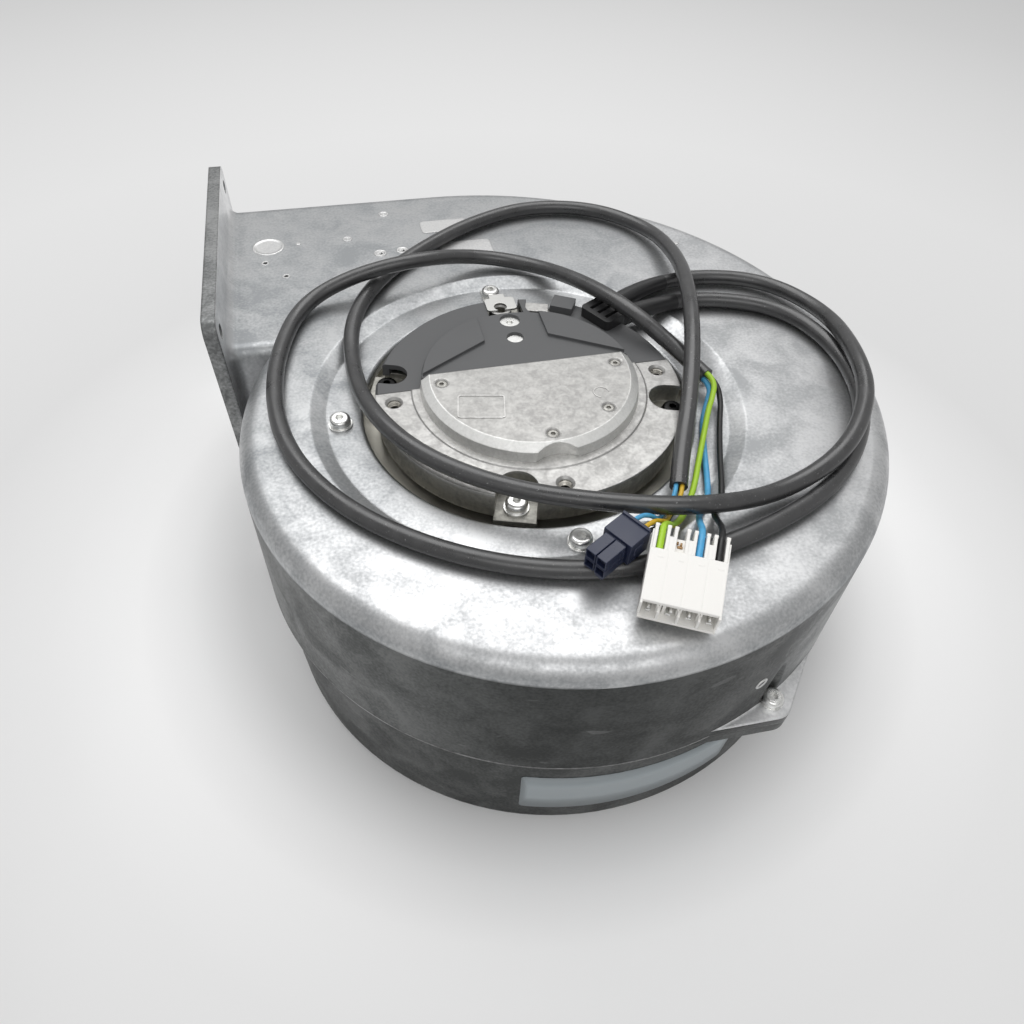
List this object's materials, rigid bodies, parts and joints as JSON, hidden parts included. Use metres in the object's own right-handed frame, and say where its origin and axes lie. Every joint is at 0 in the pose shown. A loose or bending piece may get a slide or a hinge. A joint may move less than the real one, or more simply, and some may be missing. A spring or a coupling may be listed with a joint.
{
  "type": "centrifugal fan",
  "caption": "Single-inlet centrifugal fan with a cast scroll housing, square outlet flange, flush external-rotor motor and coiled connection cables.",
  "frame": {"origin": "centre of the inlet bolt circle on the inlet face, on the motor axis", "axes": "+Z along the motor axis from the inlet to the motor side, -X out of the outlet flange, +Y towards the terminal side of the motor"},
  "size_m": [0.269, 0.3085, 0.1421],
  "materials": {
    "cast_aluminium": "as cast",
    "sheet_aluminium": "spun",
    "zinc_steel": "bright zinc",
    "seal_rubber": "matte",
    "grey_plastic": "fine grain",
    "board": "solder mask",
    "black_plastic": "sleeve",
    "white_plastic": "moulded",
    "green_plastic": "moulded",
    "navy_plastic": "moulded",
    "contact_metal": "tinned",
    "cable_sheath": "soft sheen",
    "wire_earth": "insulation",
    "wire_blue": "insulation",
    "wire_black": "insulation",
    "wire_yellow": "insulation",
    "wire_white": "insulation",
    "electrical_steel": "laminated",
    "copper": "enamelled copper",
    "bearing_steel": "ground",
    "painted_steel": "painted",
    "magnet": "sintered",
    "wheel_aluminium": "rolled",
    "clip_steel": "spring steel"
  },
  "bodies": {
    "housing": {"bearing_spacer": "zinc_steel", "bearing_spring": "zinc_steel", "board_spacers": "grey_plastic", "cable_gland": "seal_rubber", "capacitors": "black_plastic", "circuit_board": "board", "cover_screws": "zinc_steel", "damping_grommets": "seal_rubber", "earth_strap": "zinc_steel", "earth_wire": "wire_earth", "electronics_cover": "cast_aluminium", "foot_screws": "zinc_steel", "foot_washers": "zinc_steel", "housing_screws": "zinc_steel", "housing_seal": "seal_rubber", "housing_washers": "zinc_steel", "inlet_ring": "sheet_aluminium", "inlet_screws": "zinc_steel", "inlet_side_housing": "cast_aluminium", "live_wire": "wire_black", "lower_bearing": "bearing_steel", "mains_cable": "cable_sheath", "mains_plug": "white_plastic", "mains_plug_contacts": "contact_metal", "motor_flange": "cast_aluminium", "motor_side_housing": "cast_aluminium", "motor_support_plate": "sheet_aluminium", "neutral_wire": "wire_blue", "shaft_seal": "seal_rubber", "signal_cable": "cable_sheath", "signal_plug": "navy_plastic", "signal_plug_contacts": "contact_metal", "signal_wire_ground": "wire_white", "signal_wire_speed": "wire_blue", "signal_wire_supply": "wire_yellow", "signal_wire_tacho": "wire_black", "stator_core": "electrical_steel", "stator_windings": "copper", "support_screws": "zinc_steel", "support_washers": "zinc_steel", "terminal_block": "green_plastic", "terminal_cover": "grey_plastic", "terminal_screw": "zinc_steel", "upper_bearing": "bearing_steel"},
    "rotor": {"shaft": "bearing_steel", "rotor_can": "painted_steel", "rotor_magnets": "magnet", "impeller_backplate": "wheel_aluminium", "impeller_blades": "wheel_aluminium", "impeller_shroud": "wheel_aluminium", "impeller_screw": "zinc_steel", "balance_clips": "clip_steel"}
  },
  "joints": [
    {"name": "rotor_spin", "type": "hinge", "parent": "housing", "child": "rotor", "pos_m": [0, 0, 0.08], "axis": [0, 0, 1], "continuous": true}
  ]
}
